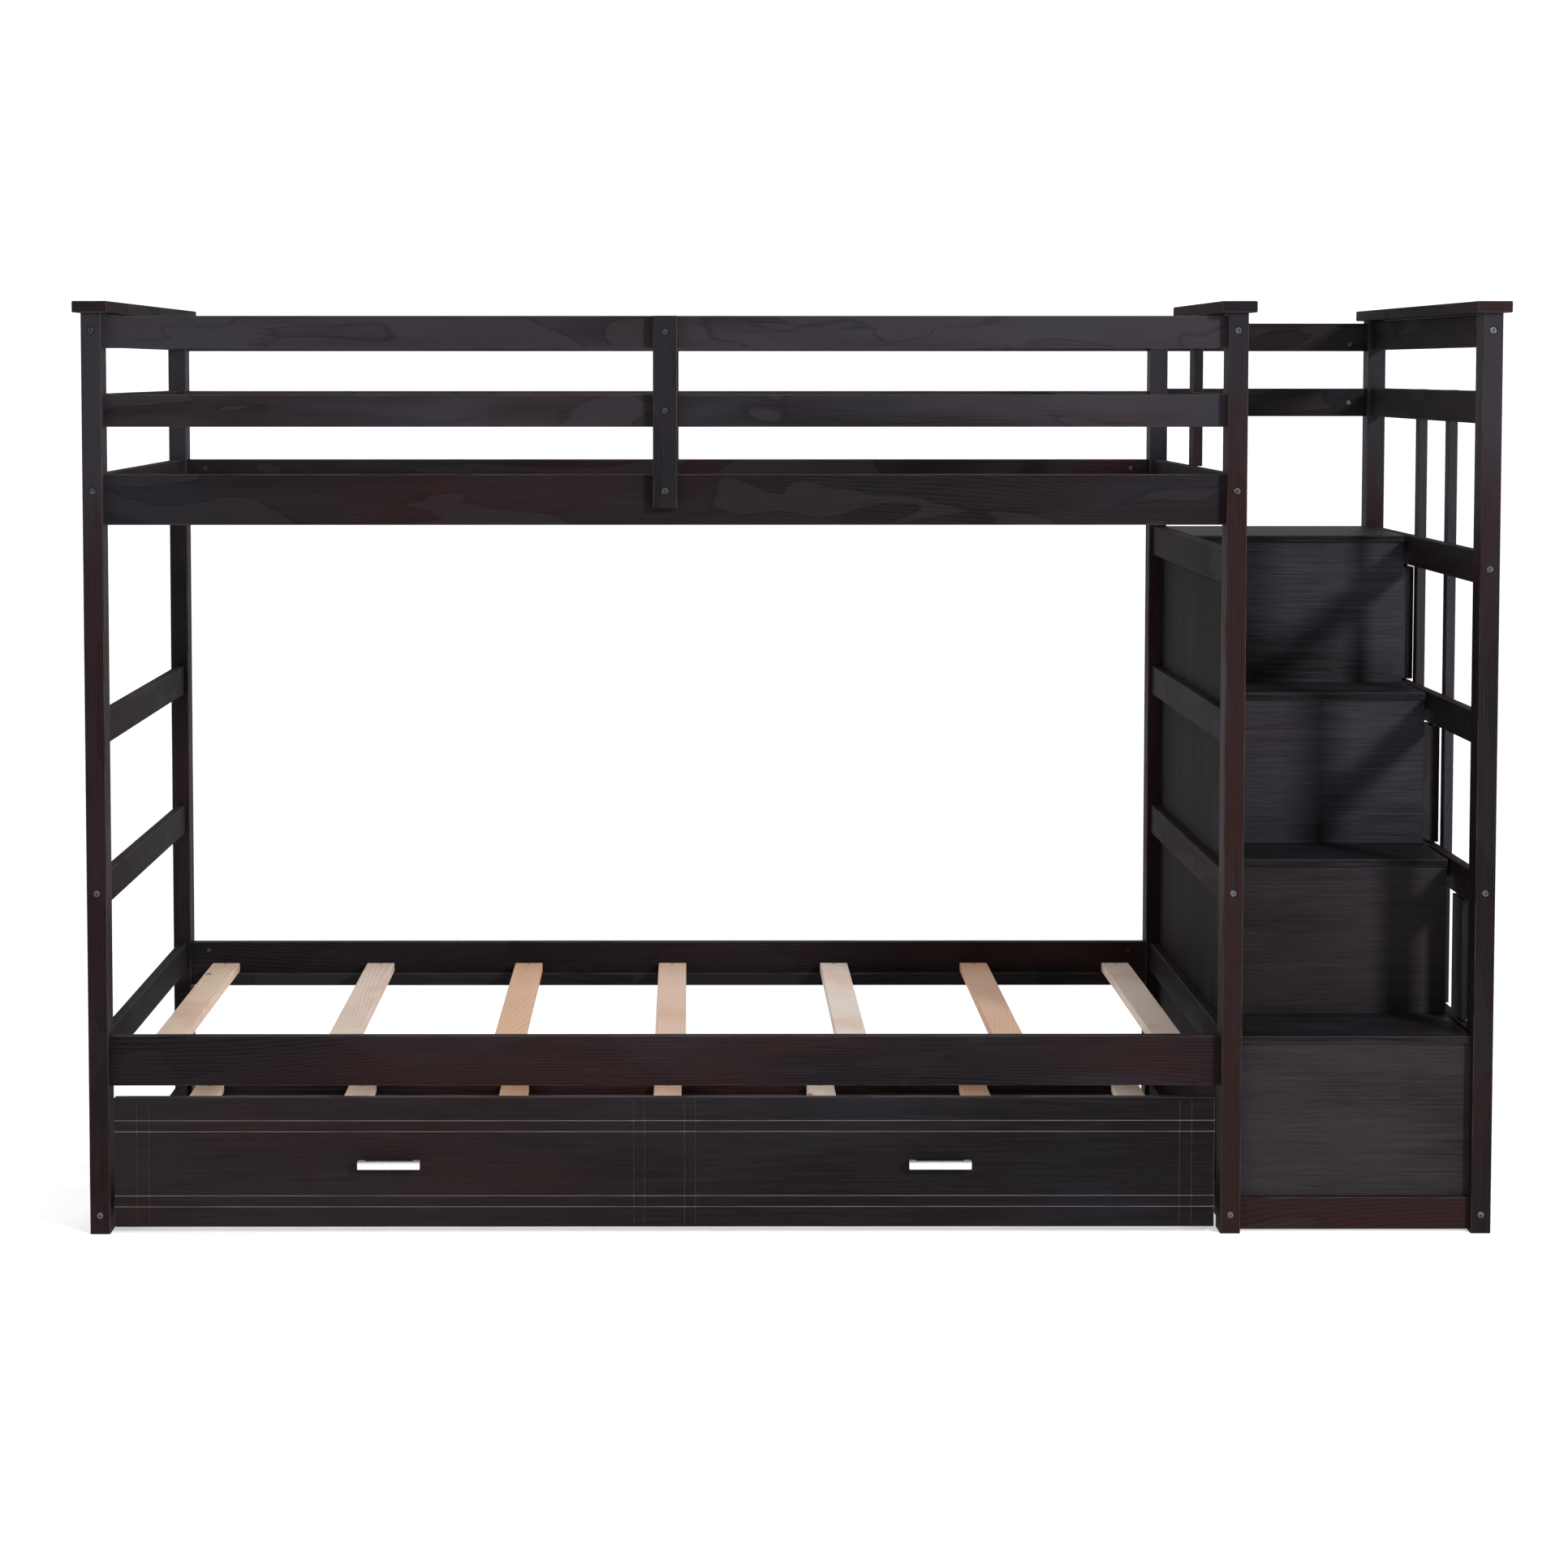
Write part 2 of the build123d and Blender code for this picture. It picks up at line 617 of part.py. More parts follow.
def castor_housing(x, d):
    """Two cheeks and a top plate round one wheel, fixed beside the trundle's end ledger."""
    half = castor_half - cheek_thickness
    depths = (d - housing_length / 2, d + housing_length / 2)
    body = board((x - castor_half, x + castor_half), depths, (castor_floor_gap, trundle_slat_under),
                 Axis.Z, panel_ease)
    top = trundle_slat_under - housing_top_thickness
    hollow = board((x - half, x + half), (depths[0] - 1, depths[1] + 1),
                   (castor_floor_gap - 1, top), Axis.Z, 0.1)
    return body - hollow - castor_axle(x, d)


def make_castors():
    """Four fixed castors inside the ends of the trundle."""
    places = [(x, d) for x in castor_xs for d in castor_d]
    for number, (x, d) in enumerate(places, 1):
        write(f"castor_wheel_{number}", [castor_wheel(x, d)])
    write("castor_housings", [castor_housing(x, d) for x, d in places])
    write("castor_axles", [castor_axle(x, d) for x, d in places])


def castor_wheel(x, d):
    """A narrow wheel with a rounded tread, hollowed sides and a plain bore."""
    plane = Plane(origin=(x, y_at(d), wheel_radius), x_dir=(0, 1, 0), z_dir=(1, 0, 0))
    disc = Cylinder(wheel_radius, wheel_width)
    disc = fillet(disc.edges(), 2.5)
    recess = Cylinder(wheel_radius - 5, 3) - Cylinder(wheel_bore + 4, 3)
    top = wheel_width / 2
    disc -= Pos(0, 0, top) * recess
    disc -= Pos(0, 0, -top) * recess
    return plane * (disc - Cylinder(wheel_bore, wheel_width + 2))


# ---------------------------------------------------------------- build
place_end_bolts()
place_rail_bolts()
place_batten_bolts()
make_posts()
make_caps()
make_end_bars()
make_entry_upright()
make_side_uprights()
make_rails()
make_battens()
frame_screws = make_bunk_slats() + make_stairs()
write("frame_screws", frame_screws)
make_handles()
write("trundle_screws", make_trundle_box())
make_castors()
for bolt_node, bolts in joinery.bolts.items():
    write(bolt_node, bolts)
write("barrel_nuts", joinery.nuts)
write("sleeve_nuts", joinery.sleeves)
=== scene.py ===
# %% [markdown]
# # A stained pine bunk bed with a staircase and a trundle
#
# The bed itself comes from the CAD model: every post, rail, slat and bolt is already in
# its right place and has its eased edges. What is left for Blender is the finish of each
# part, the two drawer pulls with their softly crowned faces, the light and the camera.
#
# The first cell loads the model and bakes each part's place into its mesh.

# %% Load the frame
import math

import bmesh
import bpy
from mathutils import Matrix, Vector


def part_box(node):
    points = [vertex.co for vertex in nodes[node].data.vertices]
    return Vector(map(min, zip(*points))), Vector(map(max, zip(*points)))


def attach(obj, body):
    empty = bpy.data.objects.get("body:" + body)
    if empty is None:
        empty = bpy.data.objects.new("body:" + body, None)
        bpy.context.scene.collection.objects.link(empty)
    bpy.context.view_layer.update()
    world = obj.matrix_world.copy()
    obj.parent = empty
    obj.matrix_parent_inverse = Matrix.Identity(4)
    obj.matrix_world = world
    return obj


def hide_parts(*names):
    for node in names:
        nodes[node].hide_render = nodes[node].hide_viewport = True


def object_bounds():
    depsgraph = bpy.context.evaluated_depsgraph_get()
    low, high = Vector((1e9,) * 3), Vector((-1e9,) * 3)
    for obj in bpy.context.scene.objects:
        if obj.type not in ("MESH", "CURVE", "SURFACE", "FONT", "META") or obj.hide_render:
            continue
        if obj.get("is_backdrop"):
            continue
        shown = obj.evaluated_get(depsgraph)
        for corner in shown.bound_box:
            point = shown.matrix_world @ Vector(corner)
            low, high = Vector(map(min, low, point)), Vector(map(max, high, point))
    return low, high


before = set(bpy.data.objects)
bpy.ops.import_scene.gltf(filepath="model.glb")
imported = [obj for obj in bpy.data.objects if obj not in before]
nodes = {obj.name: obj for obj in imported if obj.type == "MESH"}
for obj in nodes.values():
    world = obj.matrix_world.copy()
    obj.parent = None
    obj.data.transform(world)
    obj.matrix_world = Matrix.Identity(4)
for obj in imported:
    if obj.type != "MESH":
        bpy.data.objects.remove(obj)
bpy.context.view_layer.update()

# %% [markdown]
# ## Writing shader maths as Python
#
# A material is a graph of nodes, and a graph written link by link is hard to read. The
# class below wraps one output socket. Adding, multiplying or comparing wrapped sockets
# adds the Math node that does it, so a formula in Python becomes the same formula in the
# material. The reflected forms are there so that `1 - mask` works as well as `mask * 2`.

# %% A socket that understands + - * /
class Value:
    """One number that varies over a surface, as the output of a node."""

    def __init__(self, shader, socket):
        self.shader = shader
        self.socket = socket

    def _math(self, operation, *others, clamp=False):
        return self.shader.node("ShaderNodeMath", {"operation": operation, "use_clamp": clamp},
                                dict(enumerate((self, *others))))

    def __add__(self, other):
        return self._math("ADD", other)

    def __sub__(self, other):
        return self._math("SUBTRACT", other)

    def __rsub__(self, other):
        return self.shader.node("ShaderNodeMath", {"operation": "SUBTRACT"}, {0: other, 1: self})

    def __mul__(self, other):
        return self._math("MULTIPLY", other)

    def __truediv__(self, other):
        return self._math("DIVIDE", other)

    def __abs__(self):
        return self._math("ABSOLUTE")

    def root(self):
        """The square root."""
        return self._math("SQRT")

    def part(self):
        """What is left after the whole number, for a pattern that repeats."""
        return self._math("FRACT")

    def floor(self):
        """The whole number below."""
        return self._math("FLOOR")

    def larger(self, other):
        """The larger one of two numbers."""
        return self._math("MAXIMUM", other)

    def clamped(self):
        """The same number, held between 0 and 1."""
        return self._math("ADD", 0.0, clamp=True)

    def step(self, low, high):
        """0 below low, 1 above high and a smooth slope between."""
        return self.shader.node("ShaderNodeMapRange", {"interpolation_type": "SMOOTHSTEP"},
                                {"Value": self, "From Min": low, "From Max": high})

    __radd__ = __add__
    __rmul__ = __mul__


print("operators ready")

# %% [markdown]
# The second helper owns a material. Its `node` method adds any node from its type, its
# settings and what its sockets hold, either a plain value or another node's output.

# %% A material under construction
class Shader:
    def __init__(self, name):
        self.material = bpy.data.materials.new(name)
        self.material.use_nodes = True
        self.tree = self.material.node_tree
        self.surface = self.tree.nodes["Principled BSDF"]

    def node(self, kind, settings=None, sockets=None, output=0):
        made = self.tree.nodes.new(kind)
        for key, value in (settings or {}).items():
            if key == "steps":
                self._steps(made.color_ramp, value)
            else:
                setattr(made, key, value)
        for key, value in (sockets or {}).items():
            self.plug(made.inputs[key], value)
        return Value(self, made.outputs[output])

    def plug(self, socket, value):
        """Puts a wrapped socket or a plain value into a socket."""
        if isinstance(value, Value):
            self.tree.links.new(value.socket, socket)
        else:
            socket.default_value = value

    def _steps(self, ramp, colours):
        """Fills a colour ramp with equal steps, one for each colour."""
        ramp.interpolation = "CONSTANT"
        while len(ramp.elements) < len(colours):
            ramp.elements.new(0.5)
        for i, colour in enumerate(colours):
            ramp.elements[i].position = i / len(colours)
            ramp.elements[i].color = colour

    def mix(self, amount, first, second):
        """Colour between two colours, by an amount from 0 to 1."""
        return self.node("ShaderNodeMix", {"data_type": "RGBA", "clamp_factor": True},
                         {"Factor": amount, 6: first, 7: second}, output=2)

    def noise(self, place, scale, detail=2.0, rough=0.5, distortion=0.0):
        """Soft noise from 0 to 1 that depends only on the place."""
        return self.node("ShaderNodeTexNoise", {"noise_dimensions": "3D"},
                         {"Vector": place, "Scale": scale, "Detail": detail,
                          "Roughness": rough, "Distortion": distortion})

    def vector(self, x, y, z):
        """One vector from three numbers."""
        return self.node("ShaderNodeCombineXYZ", {}, {0: x, 1: y, 2: z})

    def place(self):
        """Where a point lies in the object's own space, as a vector."""
        return self.node("ShaderNodeTexCoord", output=3)

    def relief(self, height, strength, distance):
        """A fine height as a bend of the surface, for the Normal socket."""
        return self.node("ShaderNodeBump", {}, {"Strength": strength, "Distance": distance,
                                                "Height": height})

    def apart(self, vector):
        """The three numbers of a vector."""
        split = self.node("ShaderNodeSeparateXYZ", {}, {0: vector}).socket.node
        return [Value(self, split.outputs[i]) for i in range(3)]

    def finish(self, **sockets):
        """Plugs the surface's own sockets and returns the material."""
        for key, value in sockets.items():
            self.plug(self.surface.inputs[key.replace("_", " ")], value)
        return self.material


def tone(red, green, blue):
    """A colour for a socket from its screen values, 0 to 255, by the sRGB curve."""
    def linear(value):
        part = value / 255
        return part / 12.92 if part <= 0.04045 else ((part + 0.055) / 1.055) ** 2.4
    return (linear(red), linear(green), linear(blue), 1.0)


WHITE = (1.0, 1.0, 1.0, 1.0)


print("shader helpers ready")

# %% [markdown]
# ## The stained pine
#
# Real boards are cut from a log, so their grain is a slice through rings that run along
# the board. The finish is built the same way. Across the board, the distance from a
# wandering pith gives the rings, which come out as lines on the faces, as arches where
# the pith wanders, and as arcs on the sawn ends. On top of them lie fine fibres that are
# very long along the board, and broad clouds where the stain soaked in more or less.
#
# One function makes this for a board that runs along X, Y or Z. Position is read in the
# object's own space, so the pattern stays put on the wood when the trundle rolls out.

# %% Grain of a board
PITH_WANDER = 0.16      # metres, how far the pith strays from board to board
RING_PITCH = 0.0042     # metres between two growth rings
RING_RIPPLE = 0.008     # metres, how far a ring wavers along the board
EARLY_WOOD = (0.05, 0.8)                # share of a year in which the wood grows darker
YEAR_END = (0.86, 1.0)                  # share of a year in which it turns pale again
SEED_STRIDES = (0.731, 0.417, 1.37)     # metres through the log for each unit of seed
EDGE_TURN = (0.02, 0.2)                 # turn away from the main ways that makes an edge


def board_space(shader, along, seed):
    """Place on the board as (first across, second across, along), shifted by a seed."""
    parts = shader.apart(shader.place())
    grain = parts.pop("XYZ".index(along))
    return [part + seed * stride for part, stride in zip((*parts, grain), SEED_STRIDES)]


def board_noise(shader, board, crosswise, lengthwise, detail, rough):
    """Noise with one scale across the board and another one along it."""
    across, over, grain = board
    return shader.noise(shader.vector(across * crosswise, over * crosswise, grain * lengthwise),
                        1.0, detail, rough)


def growth_rings(shader, board, pitch=RING_PITCH):
    """How late in its year the wood grew, 0 to 1, with a sharp end to each year."""
    across, over, grain = board
    first_way = shader.vector(across * 2.1, over * 2.1, grain * 0.55)
    second_way = shader.vector(over * 2.3, grain * 0.5, across * 2.3)
    a = across + (shader.noise(first_way, 1.6, 1.0, 0.4) - 0.5) * PITH_WANDER
    b = over + (shader.noise(second_way, 1.9, 1.0, 0.4) - 0.5) * PITH_WANDER
    distance = (a * a + b * b).root()
    ripple = board_noise(shader, board, 9, 2.2, 2.0, 0.5)
    year = ((distance + ripple * RING_RIPPLE) / pitch).part()
    return year.step(*EARLY_WOOD) - year.step(*YEAR_END)


def fibres(shader, board, fine=900.0, length=9.0):
    """Fine streaks, long along the grain."""
    return board_noise(shader, board, fine, length, 3.0, 0.62)


def clouds(shader, board, size=3.2, stretch=0.35, shift=0.0):
    """Broad, soft patches of stain, drawn out along the board."""
    across, over, grain = board
    moved = (across + shift / size, over, grain)
    return board_noise(shader, moved, size, size * stretch, 3.0, 0.55)


def eased_edge(shader):
    """1 on the rounded edges, where the surface faces none of the three main ways."""
    normal = shader.node("ShaderNodeNewGeometry", output=1)
    x, y, z = shader.apart(normal)
    facing = abs(x).larger(abs(y)).larger(abs(z))
    return (1 - facing).step(*EDGE_TURN)


print("grain helpers ready")

# %% [markdown]
# ## The espresso finish
#
# The stain is nearly black, but not evenly so. It runs to red-brown on some lengths and to
# blue-grey on others, it is thin on the eased edges, and the hard late wood of each ring
# takes less of it. The eased edges are painted lighter, partly for the thin stain and partly
# as a painted highlight where they catch the light. A thin, nearly matt lacquer lies over
# it, so the gloss hardly changes while the colour does, and the fibres still show as a very
# fine relief.

# %% Espresso stained wood
NEAR_BLACK = tone(22, 19, 21)
RED_BROWN = tone(42, 23, 21)
BLUE_GREY = tone(38, 38, 44)
LATE_WOOD = tone(50, 46, 50)
SOAKED = tone(9, 8, 9)
# Colour of the lighter eased edges: partly stain worn thin, partly a painted highlight where the
# edges catch the light.
EDGE_WEAR_AND_HIGHLIGHT = tone(74, 66, 65)
GREY_BLOOM = tone(52, 51, 58)
BLACK = tone(0, 0, 0)
GLOSS = 0.02            # how strongly the lacquer reflects
PLAIN_ROUGH = 0.56      # roughness of the lacquer on most boards
PLAIN_RED = 0.35        # share of red at which the clouds keep their own size
PLAIN_GREY = 0.45       # the same for grey
LIFT_LEVEL = 0.95       # metres above the floor where a post turns greyer
TIDE_ACROSS = 11.0      # tide marks in a metre across the board, about
TIDE_ALONG = 3.1        # the same along it
RELIEF = 0.0004         # metres, how deep fibres and rings stand

# Each pair says where a mask starts to show and where it shows in full.
RED_CLOUD = (0.42, 0.66)
GREY_CLOUD = (0.40, 0.70)
TIDE_PATCH = (0.535, 0.548)
TIDE_SHORE = (0.515, 0.535)
PALE_FIBRE = (0.38, 0.75)
DARK_FIBRE = (0.55, 0.8)
EDGE_RUB_AND_HIGHLIGHT = (0.25, 0.65)


def tide_marks(shader, board, seed):
    """Lighter patches with a crisp shore, where the stain dried in flame shapes."""
    across, over, grain = board
    place = shader.vector(across * TIDE_ACROSS + seed, over * TIDE_ACROSS, grain * TIDE_ALONG)
    level = shader.noise(place, 1.0, 2.0, 0.45, distortion=0.6)
    patch = level.step(*TIDE_PATCH)
    shore = level.step(*TIDE_SHORE) * (1 - patch)
    return patch, shore


def stained_wood(name, along, seed, red=PLAIN_RED, grey=PLAIN_GREY, ring_show=0.30,
                 rough=PLAIN_ROUGH, lift=0.0, tide_show=0.2, shade=0.0, bloom=BLUE_GREY):
    """Dark stained pine whose grain runs along one axis; lift greys it towards the top."""
    shader = Shader(name)
    board = board_space(shader, along, seed)
    ring = growth_rings(shader, board)
    fibre = fibres(shader, board)
    broad = clouds(shader, board)
    patch = clouds(shader, board, 5.5, 0.22, 7.3)
    tide, shore = tide_marks(shader, board, seed)
    rub_and_highlight = board_noise(shader, board, 30, 12, 3.0, 0.6)
    reddish = (broad + (red - PLAIN_RED)).step(*RED_CLOUD)
    greyness = patch + (grey - PLAIN_GREY)
    if lift:
        height = shader.apart(shader.place())[2]
        greyness = greyness + (height - LIFT_LEVEL) * lift
    base = shader.mix(reddish, NEAR_BLACK, RED_BROWN)
    for amount, colour in (
            (greyness.step(*GREY_CLOUD) * 0.85, bloom),
            (tide * tide_show, LATE_WOOD),
            (shore * tide_show * 0.7, SOAKED),
            (ring * ring_show * (0.5 + patch * 0.9), LATE_WOOD),
            (fibre.step(*PALE_FIBRE) * 0.30, LATE_WOOD),
            ((1 - fibre).step(*DARK_FIBRE) * 0.5, SOAKED),
            (shade, BLACK),
            # Eased edges painted lighter in patches: partly worn stain, partly a painted highlight.
            (eased_edge(shader) * rub_and_highlight.step(*EDGE_RUB_AND_HIGHLIGHT) * 0.8, EDGE_WEAR_AND_HIGHLIGHT)):
        base = shader.mix(amount, base, colour)
    bump = shader.relief(fibre * 0.5 + ring * 0.35, 0.16, RELIEF)
    gloss = rough + (fibre - 0.5) * 0.12 + (broad - 0.5) * 0.1 - tide * 0.04
    return shader.finish(Base_Color=base, Roughness=gloss, Normal=bump, Specular_IOR_Level=GLOSS)


finishes = {
    "posts": stained_wood("espresso_post", "Z", 1.0, red=0.38, grey=0.27, lift=0.9,
                          tide_show=0.15, shade=0.2, bloom=GREY_BLOOM),
    "redder": stained_wood("espresso_middle_post", "Z", 1.7, red=0.54, grey=0.18, lift=0.8,
                           tide_show=0.12, shade=0.15),
    "guards": stained_wood("espresso_guard", "X", 2.3, red=0.42, grey=0.52, tide_show=0.48,
                           bloom=GREY_BLOOM),
    "rails": stained_wood("espresso_rail", "X", 3.1, grey=0.50, tide_show=0.4, shade=0.26),
    "low_rails": stained_wood("espresso_low_rail", "X", 4.6, red=0.38, grey=0.34,
                              tide_show=0.12, shade=0.1),
    "bars": stained_wood("espresso_bar", "Y", 3.9, red=0.36, grey=0.42, rough=0.7, shade=0.1),
    "uprights": stained_wood("espresso_upright", "Z", 5.2, red=0.36, grey=0.44, shade=0.22),
    "slats_upright": stained_wood("espresso_side_slat", "Z", 5.8, red=0.28, grey=0.62,
                                  ring_show=0.5, bloom=GREY_BLOOM),
    "kick": stained_wood("espresso_kick", "X", 6.6, red=0.58, grey=0.2, shade=0.1),
}
print("stained woods:", sorted(finishes))

# %% [markdown]
# ## Veneered boards
#
# The risers and treads are wide boards with a straight, combed grain: many thin lines
# side by side, a little lighter than the stain. The lines run level, and upright on the
# panel between the stairs and the bunk. The same parts of the pattern are used, with
# wide faint bands in place of the rings and a stronger comb of fibres.

# %% Combed veneer
BROWN_VENEER = tone(40, 34, 34)
COMB_LIGHT = tone(66, 63, 68)
COMB = 420.0            # comb lines across one metre, about
FINE_COMB = 640.0       # the same on the risers
VENEER_RELIEF = 0.0003  # metres, how deep the comb stands
BROWN_BELOW = 0.62      # metres above the floor, under which the risers are browner
BROWN_EDGE = 0.02       # metres over which the browner veneer gives way
VENEER_RED = (0.42, 0.75)
VENEER_GREY = (0.4, 0.75)
PALE_COMB = (0.42, 0.72)
PALE_BAND = (0.5, 0.8)
DARK_COMB = (0.52, 0.75)


def combed_wood(name, along, seed, comb=COMB, red=0.3, grey=0.5, strength=0.55,
                rough=PLAIN_ROUGH, shade=0.0, bloom=BLUE_GREY, brown_below=0.0):
    """Dark stained veneer with fine straight lines; it is browner below a given height."""
    shader = Shader(name)
    board = board_space(shader, along, seed)
    lines = board_noise(shader, board, comb, 11, 4.0, 0.7)
    wide = board_noise(shader, board, 60, 2.1, 2.0, 0.5)
    broad = clouds(shader, board, 4.0, 0.3)
    patch = clouds(shader, board, 6.0, 0.4, 3.1)
    base = shader.mix((broad + (red - PLAIN_RED)).step(*VENEER_RED), NEAR_BLACK, RED_BROWN)
    greyness = (patch + (grey - PLAIN_GREY)).step(*VENEER_GREY)
    light = lines.step(*PALE_COMB) * strength + wide.step(*PALE_BAND) * 0.25
    layers = [(greyness * 0.7, bloom),
              (light, COMB_LIGHT),
              ((1 - lines).step(*DARK_COMB) * 0.5, SOAKED),
              # Eased edges painted lighter: partly worn stain, partly a painted highlight.
              (eased_edge(shader) * 0.45, EDGE_WEAR_AND_HIGHLIGHT)]
    if brown_below:
        height = shader.apart(shader.place())[2]
        low = 1 - height.step(brown_below - BROWN_EDGE, brown_below)
        layers.append((low * 0.5, BROWN_VENEER))
    for amount, colour in (*layers, (shade, BLACK)):
        base = shader.mix(amount, base, colour)
    gloss = rough + (lines - 0.5) * 0.14 + (broad - 0.5) * 0.06
    return shader.finish(Base_Color=base, Roughness=gloss, Specular_IOR_Level=GLOSS,
                         Normal=shader.relief(lines, 0.2, VENEER_RELIEF))


finishes["risers"] = combed_wood("espresso_riser", "X", 8.4, grey=0.62, bloom=GREY_BLOOM,
                                 strength=0.7, comb=FINE_COMB, brown_below=BROWN_BELOW)
finishes["treads"] = combed_wood("espresso_tread", "X", 9.1, red=0.12, grey=0.45, strength=0.3)
finishes["panel"] = combed_wood("espresso_panel", "Z", 10.7, grey=0.35, strength=0.1, rough=0.7,
                                shade=0.1)
print("veneers ready")

# %% [markdown]
# ## The trundle's front
#
# Its face is the same veneer, warmer towards the left, but thin grooves divide it into
# panels. The grooves are cut in the CAD model. The finish finds them by depth: a place
# that lies behind the face by more than a hair is in a groove. The level grooves are painted
# as a pale grey line, and the upright ones as a browner one.

# %% Trundle front
WARM_VENEER = tone(40, 33, 33)
# Colours painted into the grooves: browner in the upright ones, pale grey in the level ones.
UPRIGHT_GROOVE_BROWN = tone(88, 60, 54)
LEVEL_GROOVE_PALE = tone(150, 142, 140)
LEVEL_GROOVES = (0.0466, 0.066, 0.1795, 0.199)      # heights of the level grooves, metres
LEVEL_REACH = (0.0012, 0.0016)      # metres up or down where a level groove ends
GROOVE_TOP = (0.0002, 0.0004)       # metres behind the face where a groove starts
GROOVE_FLOOR = (0.0016, 0.0020)     # metres behind the face where it ends
FRONT_RIM = (0.004, 0.006)          # metres from the board's edge that hold no groove
WARM_SIDE = (-0.9, 0.6)             # metres along the bed over which the warmth fades
FRONT_ROUGH = 0.38
FRONT_RED = (0.46, 0.8)
FRONT_PALE = (0.45, 0.75)
GROOVE_PATCHES = (0.25, 0.6)


def grooved_front(name, node, seed):
    """The front's veneer, with pale grooves found by their depth."""
    shader = Shader(name)
    low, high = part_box(node)
    board = board_space(shader, "X", seed)
    across, over, grain = board
    x, y, z = shader.apart(shader.place())
    lines = board_noise(shader, board, COMB, 9, 4.0, 0.7)
    broad = clouds(shader, board, 4.0, 0.3)
    patch = clouds(shader, board, 5.0, 0.3, 3.1)
    base = shader.mix(broad.step(*FRONT_RED) * 0.8, NEAR_BLACK, RED_BROWN)
    for amount, colour in (((1 - x.step(*WARM_SIDE)) * 0.55, WARM_VENEER),
                           (patch.step(*VENEER_GREY) * 0.5, BLUE_GREY),
                           (lines.step(*FRONT_PALE) * 0.35, LATE_WOOD),
                           ((1 - lines).step(*DARK_COMB) * 0.4, SOAKED),
                           # Eased edges painted lighter: partly worn stain, partly a painted
                           # highlight.
                           (eased_edge(shader) * 0.4, EDGE_WEAR_AND_HIGHLIGHT)):
        base = shader.mix(amount, base, colour)
    sunk = (y - low.y).step(*GROOVE_TOP) * (1 - (y - low.y).step(*GROOVE_FLOOR))
    inside = (z - low.z).step(*FRONT_RIM) * (high.z - z).step(*FRONT_RIM)
    level = 0.0
    for height in LEVEL_GROOVES:
        level = level + (1 - abs(z - height).step(*LEVEL_REACH))
    groove_noise = shader.noise(shader.vector(across * 8, over * 40, grain * 8), 1.0, 3.0, 0.6)
    pale = shader.mix(level.clamped(), UPRIGHT_GROOVE_BROWN, LEVEL_GROOVE_PALE)
    base = shader.mix(sunk * inside * (0.36 + groove_noise.step(*GROOVE_PATCHES) * 0.3), base, pale)
    gloss = FRONT_ROUGH + (lines - 0.5) * 0.12 + sunk * 0.15
    return shader.finish(Base_Color=base, Roughness=gloss, Specular_IOR_Level=GLOSS,
                         Normal=shader.relief(lines, 0.18, VENEER_RELIEF))


finishes["front"] = grooved_front("espresso_grooved_front", "trundle_front", 12.2)
print("trundle front ready")

# %% [markdown]
# ## Bare pine slats
#
# The slats are left raw: pale, with warm rings, a few pinker lengths and the odd small
# knot. They all run from front to back, so one finish serves a whole row. The slat's
# number along the bed picks its own tone out of a list, from left to right.

# %% Pale slats
# The first and last tones are partly the slats' own and partly painted light, raised to make up for
# the shade on the end slats.
SLAT_TONES = [tone(232, 208, 186), tone(228, 210, 196), tone(222, 180, 146), tone(222, 193, 172),
              tone(230, 219, 209), tone(216, 176, 146), tone(236, 223, 210)]
PINE_CLOUD = tone(204, 162, 134)
PINE_RING = tone(186, 138, 104)
PINE_FIBRE = tone(160, 118, 90)
KNOT = tone(112, 66, 44)
SLAT_RING_PITCH = 0.0055    # metres between two growth rings
SLAT_WIDTH = 0.056          # metres
WARM_CLOUD = (0.42, 0.7)
WARM_FIBRE = (0.5, 0.85)
KNOT_REACH = (0.03, 0.075)  # how far a knot reaches, in shares of the space between two


def bare_slats(name, seed, pitch, first):
    """Raw pine for a row of slats, from the middle of the first and their pitch."""
    shader = Shader(name)
    board = board_space(shader, "Y", seed)
    across, over, grain = board
    ring = growth_rings(shader, board, SLAT_RING_PITCH)
    fibre = fibres(shader, board, 700, 7)
    broad = clouds(shader, board, 11.0, 0.5)
    spots = shader.node("ShaderNodeTexVoronoi", {"feature": "F1"},
                        {"Vector": shader.vector(across * 9, over * 9, grain * 4), "Scale": 1.0,
                         "Randomness": 1.0})
    x, y, z = shader.apart(shader.place())
    number = ((x - first) / pitch + 0.5).floor()
    base = shader.node("ShaderNodeValToRGB", {"steps": SLAT_TONES},
                       {0: (number + 0.5) / len(SLAT_TONES)})
    for amount, colour in ((broad.step(*WARM_CLOUD) * 0.45, PINE_CLOUD),
                           (ring * 0.26, PINE_RING),
                           ((1 - fibre).step(*WARM_FIBRE) * 0.22, PINE_FIBRE),
                           ((1 - spots.step(*KNOT_REACH)) * 0.85, KNOT)):
        base = shader.mix(amount, base, colour)
    return shader.finish(Base_Color=base, Roughness=0.62 + (fibre - 0.5) * 0.2,
                         Normal=shader.relief(fibre * 0.6 + ring * 0.4, 0.25, RELIEF))


for key, name, seed, (row_low, row_high) in (
        ("slats", "bare_pine_slat", 4.4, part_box("slats_lower")),
        ("trundle_slats", "bare_pine_trundle_slat", 7.7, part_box("trundle_slats"))):
    pitch = (row_high.x - row_low.x - SLAT_WIDTH) / (len(SLAT_TONES) - 1)
    finishes[key] = bare_slats(name, seed, pitch, row_low.x + SLAT_WIDTH / 2)
    print(key, "pitch:", round(pitch, 4))

